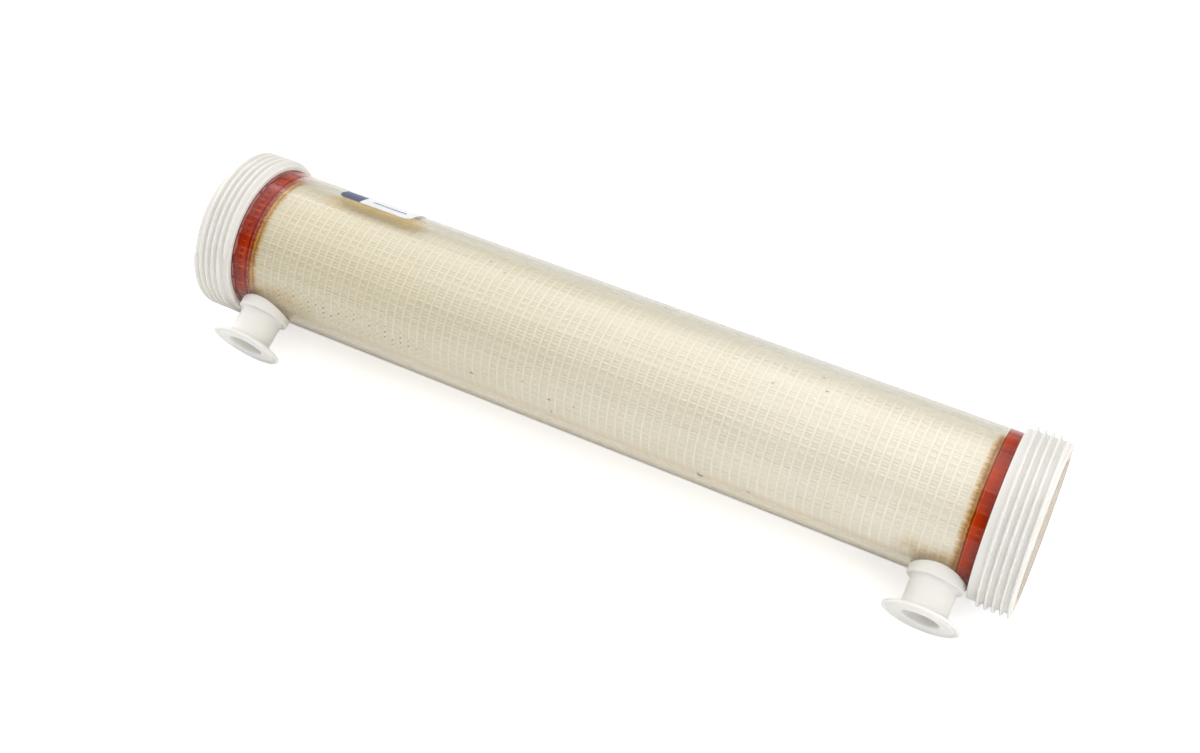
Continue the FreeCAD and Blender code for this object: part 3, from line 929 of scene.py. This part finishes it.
port_white = white_plastic("port_moulding", tint(238, 236, 231), tint(233, 231, 226))
for side in SIDES:
    fitting = made(side + "_clamp_port", port(side), port_white, sharp=40, place=(0, 0, 0))
    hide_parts("permeate_ports")

# Label: a thin printed film with round corners, stuck high on the left part of the tube. Its
# left third is a navy field and the rest is white. Its adhesive has crept out and turned tan.
label_low, label_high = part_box("label")
LABEL_BACK = TUBE_OUTSIDE + 0.1 * MM
LABEL_THICKNESS = 0.2 * MM
LABEL_CORNER = 5 * MM
LABEL_WIDTH = 30 * MM
LABEL_LOWER_EDGE = radians(105.3)
LABEL_START = label_low.x + 3.4 * MM
NAVY_LENGTH = 17.8 * MM
LABEL_COLUMNS = 24
PRINT_TOP = 120.0
PRINT_BARS = (112.2, 115.4)
ADHESIVE_LENGTH = 90 * MM
ADHESIVE_WIDTH = 22 * MM
ADHESIVE_THICKNESS = 0.03 * MM
ADHESIVE_MIDDLE = -191 * MM
ADHESIVE_TURN = radians(100)
ADHESIVE_COLUMNS = 20


def label_look():
    """Printed film: a navy field at the left end, white beyond it."""
    look = Finish("label_film", Roughness=0.3)
    along = look.axes()[0]
    edge = LABEL_START + NAVY_LENGTH
    field = look.span(along, edge - 0.15 * MM, edge + 0.15 * MM)
    shade = look.clouds(60, tint(240, 240, 243), tint(232, 232, 237), 2)
    navy = look.clouds(90, tint(50, 62, 100), tint(62, 74, 114), 2)
    bar_row = look.patch(edge + 7 * MM, label_high.x - 7 * MM, *PRINT_BARS, 0.2 * MM, radians(0.2))
    bars = look.math("FRACT", look.math("DIVIDE", along, 2.6 * MM))
    shade = look.stain(shade, look.times(bar_row, look.span(bars, 0.3, 0.36)), 0.9, tint(48, 46, 50))
    line = look.patch(edge, label_high.x, PRINT_TOP - 0.5, PRINT_TOP, 1 * MM, radians(0.2))
    shade = look.stain(shade, line, 0.5, tint(176, 178, 186))
    margin = look.span(look.turn(), radians(PRINT_TOP - 0.4), radians(PRINT_TOP + 0.4))
    look.colour(look.mix(look.math("MAXIMUM", field, margin), navy, shade))
    return look.material


def sticker(length, width, corner, thickness, columns):
    """Flat rounded rectangle on Z = 0, cut into columns so that it can follow the tube."""
    bm = bmesh.new()
    bmesh.ops.create_grid(bm, x_segments=1, y_segments=1, size=0.5)
    bmesh.ops.scale(bm, verts=bm.verts, vec=(length, width, 1))
    bmesh.ops.bevel(
        bm, geom=bm.verts[:], offset=corner, segments=8, profile=0.5, affect="VERTICES", material=-1
    )
    for number in range(1, columns):
        place = width * (number / columns - 0.5)
        bmesh.ops.bisect_plane(
            bm, geom=bm.verts[:] + bm.edges[:] + bm.faces[:], plane_co=(0, place, 0), plane_no=(0, 1, 0)
        )
    bmesh.ops.solidify(bm, geom=bm.faces[:], thickness=thickness)
    return bm


def wrapped(bm, along, middle_turn, back):
    """Bend a flat sheet round the tube at an angle from the front horizontal, upwards."""
    lift = min(point.co.z for point in bm.verts)
    for point in bm.verts:
        reach = back + point.co.z - lift
        turn = middle_turn + point.co.y / TUBE_OUTSIDE
        point.co = (point.co.x + along, -reach * cos(turn), reach * sin(turn))
    bmesh.ops.recalc_face_normals(bm, faces=bm.faces)
    return bm


def adhesive_look():
    """Tan film, thick below the label's lower edge and thinning out to nothing."""
    look = Finish("label_adhesive", Roughness=0.35)
    look.colour(look.clouds(70, tint(228, 208, 158), tint(216, 192, 136)))
    spread = look.patch(-0.217, -0.155, 97, 125, 9 * MM)
    cloudy = look.math("ADD", look.times(look.noise(90), 0.5), 0.18)
    lit = look.less(look.node("LightPath").outputs["Is Shadow Ray"])
    look.link(look.times(spread, cloudy, lit), look.surface.inputs["Alpha"])
    return look.material


half_width_turn = asin(LABEL_WIDTH / 2 / TUBE_OUTSIDE)
film = sticker(label_high.x - LABEL_START, LABEL_WIDTH * 1.014, LABEL_CORNER, LABEL_THICKNESS, LABEL_COLUMNS)
wrapped(film, (LABEL_START + label_high.x) / 2, LABEL_LOWER_EDGE + half_width_turn, LABEL_BACK)
label = made("label_film", film, label_look(), sharp=50)
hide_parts("label")
smear = sticker(ADHESIVE_LENGTH, ADHESIVE_WIDTH, LABEL_CORNER, ADHESIVE_THICKNESS, ADHESIVE_COLUMNS)
wrapped(smear, ADHESIVE_MIDDLE, ADHESIVE_TURN, TUBE_OUTSIDE + ADHESIVE_THICKNESS)
adhesive = made("label_adhesive", smear, adhesive_look(), sharp=50)

# Specks: grains and short hairs of brown dirt that stick to the tube. Each is given by its place
# along the tube in millimetres, its turn round it in degrees and its size.
SPECKS = (
    (-75.4, 2.1, 0.9), (-37.9, 11.9, 0.6), (-17.1, 3.3, 0.8), (-16.1, -6.6, 0.8), (1.7, 5.6, 0.7),
    (92.9, -11.9, 1.2), (126.4, -9.6, 0.7), (-77.2, 84.4, 0.6), (-91.5, 90.3, 0.5), (28.9, 115.2, 0.5),
    (35.8, 114.8, 0.5), (119.6, 75.9, 0.6), (146.7, 95.5, 0.6), (153.2, 85.1, 0.7),
)


def speck_look():
    """Brown, lighter in places."""
    look = Finish("speck", Roughness=0.5)
    look.colour(look.clouds(1500, tint(66, 42, 24), tint(112, 80, 50), 2))
    return look.material


specks = bmesh.new()
speck_random = random.Random(3)
for along, turn, size in SPECKS:
    ring = bmesh.ops.create_circle(specks, segments=6, radius=0.26 * size * MM)["verts"]
    bmesh.ops.rotate(specks, verts=ring, cent=(0, 0, 0), matrix=Matrix.Rotation(pi / 2, 3, "X"))
    bmesh.ops.translate(specks, verts=ring, vec=(1.4 * size * MM, 0, 0))
    strip = [edge for edge in specks.edges if all(point in ring for point in edge.verts)]
    before = len(specks.verts) - len(ring)
    bend = radians(speck_random.uniform(100, 190))
    bmesh.ops.spin(specks, geom=strip, cent=(0, 0, 0), axis=(0, 0, 1), angle=bend, steps=8)
    specks.verts.ensure_lookup_table()
    hair = specks.verts[before:]
    lie = Matrix.Rotation(speck_random.uniform(0, 2 * pi), 4, "Z")
    lift = Matrix.Translation((0, 0, TUBE_OUTSIDE + 0.21 * size * MM))
    stand = Matrix.Rotation(pi / 2 - radians(turn), 4, "X")
    spot = Matrix.Translation((along * MM, 0, 0))
    bmesh.ops.transform(specks, matrix=spot @ stand @ lift @ lie, verts=hair)
bmesh.ops.holes_fill(specks, edges=specks.edges[:], sides=6)
bmesh.ops.recalc_face_normals(specks, faces=specks.faces)
dirt = made("specks", specks, speck_look(), sharp=60)

# Floor: a plain pale sheet, lit by wide soft lamps. It isn't part of the object. It shows white
# to the camera, and through the clear tube it is bright only near the tube.
FLOOR_REACH = 12
FLOOR_SEEN = 0.56
FLOOR_MIRRORED = 0.05
FLOOR_NEAR_TUBE = 0.24
FLOOR_AWAY = 0.02


def floor_look():
    """Pale sheet whose own glow depends on the kind of ray that meets it."""
    look = Finish("floor", Base_Color=(0.92, 0.93, 0.94, 1), Roughness=0.95)
    path = look.node("LightPath").outputs
    aside = look.math("ABSOLUTE", look.math("SUBTRACT", look.axes()[1], TUBE_AXIS.y))
    near_tube = look.less(look.span(aside, 0.06, 0.2))
    through = look.math("ADD", look.times(near_tube, FLOOR_NEAR_TUBE), FLOOR_AWAY)
    seen = look.times(path["Is Camera Ray"], FLOOR_SEEN)
    seen = look.math("ADD", seen, look.times(path["Is Glossy Ray"], FLOOR_MIRRORED))
    seen = look.math("ADD", seen, look.times(path["Is Transmission Ray"], through))
    look.surface.inputs["Emission Color"].default_value = (1, 1, 1, 1)
    look.link(seen, look.surface.inputs["Emission Strength"])
    return look.material


sheet = bmesh.new()
bmesh.ops.create_grid(sheet, x_segments=1, y_segments=1, size=FLOOR_REACH)
floor = in_scene("floor", mesh_of("floor", sheet))
floor.data.materials.append(floor_look())

# World: a pale studio, bright above and low behind the tube where the white sheet sweeps up,
# darker towards the camera's side, and white where it is seen.
world = bpy.data.worlds.new("studio")
bpy.context.scene.world = world
world.use_nodes = True
studio = world.node_tree
sky = studio.nodes["Background"]
sky.inputs["Color"].default_value = (1, 1, 1, 1)
direction = studio.nodes.new("ShaderNodeTexCoord")
split = studio.nodes.new("ShaderNodeSeparateXYZ")
studio.links.new(direction.outputs["Generated"], split.inputs[0])


def zone(axis, low, high, at_low, at_high):
    """Smooth step in the studio's brightness along one direction."""
    step = studio.nodes.new("ShaderNodeMapRange")
    step.interpolation_type = "SMOOTHSTEP"
    studio.links.new(split.outputs[axis], step.inputs["Value"])
    for socket, value in zip(("From Min", "From Max", "To Min", "To Max"), (low, high, at_low, at_high)):
        step.inputs[socket].default_value = value
    return step.outputs[0]


def joined(operation, first, second):
    """Sum or product of two parts of the studio's brightness."""
    step = studio.nodes.new("ShaderNodeMath")
    step.operation = operation
    studio.links.new(first, step.inputs[0])
    studio.links.new(second, step.inputs[1])
    return step.outputs[0]


sweep = joined("MULTIPLY", zone("Y", -0.1, 0.35, 0, 0.34), zone("Z", 0.16, 0.34, 1, 0))
strength = joined("ADD", sweep, zone("Z", 0.45, 0.8, 0.12, 0.42))
sky_path = studio.nodes.new("ShaderNodeLightPath")
backdrop = joined("MULTIPLY", zone("Y", 0, 0.4, 0, 0.34), sky_path.outputs["Is Glossy Ray"])
strength = joined("ADD", strength, backdrop)
studio.links.new(strength, sky.inputs["Strength"])
white_sky = studio.nodes.new("ShaderNodeBackground")
white_sky.inputs["Color"].default_value = (1, 1, 1, 1)
white_sky.inputs["Strength"].default_value = 1.0
sky_choice = studio.nodes.new("ShaderNodeMixShader")
studio.links.new(sky_path.outputs["Is Camera Ray"], sky_choice.inputs[0])
studio.links.new(sky.outputs[0], sky_choice.inputs[1])
studio.links.new(white_sky.outputs[0], sky_choice.inputs[2])
studio.links.new(sky_choice.outputs[0], studio.nodes["World Output"].inputs["Surface"])


def lamp(name, bearing, tilt, distance, size, brightness, along=0.0, spread=180):
    """Soft box that faces the tube: bearing round from the front to the right, tilt up, in degrees."""
    light = bpy.data.lights.new(name, "AREA")
    light.shape = "RECTANGLE"
    light.size, light.size_y = size
    light.energy = brightness * pi * size[0] * size[1]
    light.spread = radians(spread)
    aside, up = radians(bearing), radians(tilt)
    away = Vector((sin(aside) * cos(up), -cos(aside) * cos(up), sin(up)))
    holder = in_scene(name, light)
    holder.location = TUBE_AXIS + away * distance + Vector((along, 0, 0))
    holder.rotation_euler = (-away).to_track_quat("-Z", "Y").to_euler()


lamp("overhead_box", 0, 98, distance=1.2, size=(4.6, 1.45), brightness=0.77, along=0.3, spread=150)
lamp("front_box", 0, 52, distance=1.4, size=(5.0, 0.78), brightness=0.35, along=0.5)
lamp("low_front_box", 0, 9, distance=1.6, size=(5.0, 0.48), brightness=0.42, along=0.4)
lamp("back_box", 180, 42, distance=1.4, size=(5.0, 0.5), brightness=0.45, along=0.3)
lamp("right_front_box", 44, 8, distance=1.6, size=(1.2, 1.0), brightness=2.3)
lamp("left_front_box", -78, 8, distance=1.6, size=(1.1, 1.0), brightness=2.6)
lamp("right_back_box", 104, 22, distance=1.7, size=(1.1, 1.3), brightness=1.2)
lamp("left_back_box", -112, 22, distance=1.7, size=(1.1, 1.3), brightness=1.2)

# Camera: stands in front and to the right of the tube and looks down on it, tipped a little
# about its own line of sight.
CAMERA_PLACE = Vector((335.11, -733.65, 746.53)) * MM
SENSOR_WIDTH = 36
FOCAL_PIXELS = 1624.84
PICTURE_WIDTH = 1200
SHIFT_RIGHT_PIXELS = -4.96
SHIFT_DOWN_PIXELS = -64.63
HEADING = radians(25.304)
LOOK_DOWN = radians(40.929)
ROLL = radians(2.939)
camera_data = bpy.data.cameras.new("camera")
camera_data.sensor_width = SENSOR_WIDTH
camera_data.lens = FOCAL_PIXELS / PICTURE_WIDTH * SENSOR_WIDTH
camera_data.shift_x = -SHIFT_RIGHT_PIXELS / PICTURE_WIDTH
camera_data.shift_y = SHIFT_DOWN_PIXELS / PICTURE_WIDTH
camera = in_scene("camera", camera_data)
turn = (
    Matrix.Rotation(HEADING, 4, "Z")
    @ Matrix.Rotation(pi / 2 - LOOK_DOWN, 4, "X")
    @ Matrix.Rotation(ROLL, 4, "Z")
)
camera.matrix_world = Matrix.Translation(TUBE_AXIS + CAMERA_PLACE) @ turn
bpy.context.scene.camera = camera
bpy.context.scene.view_settings.view_transform = "Standard"
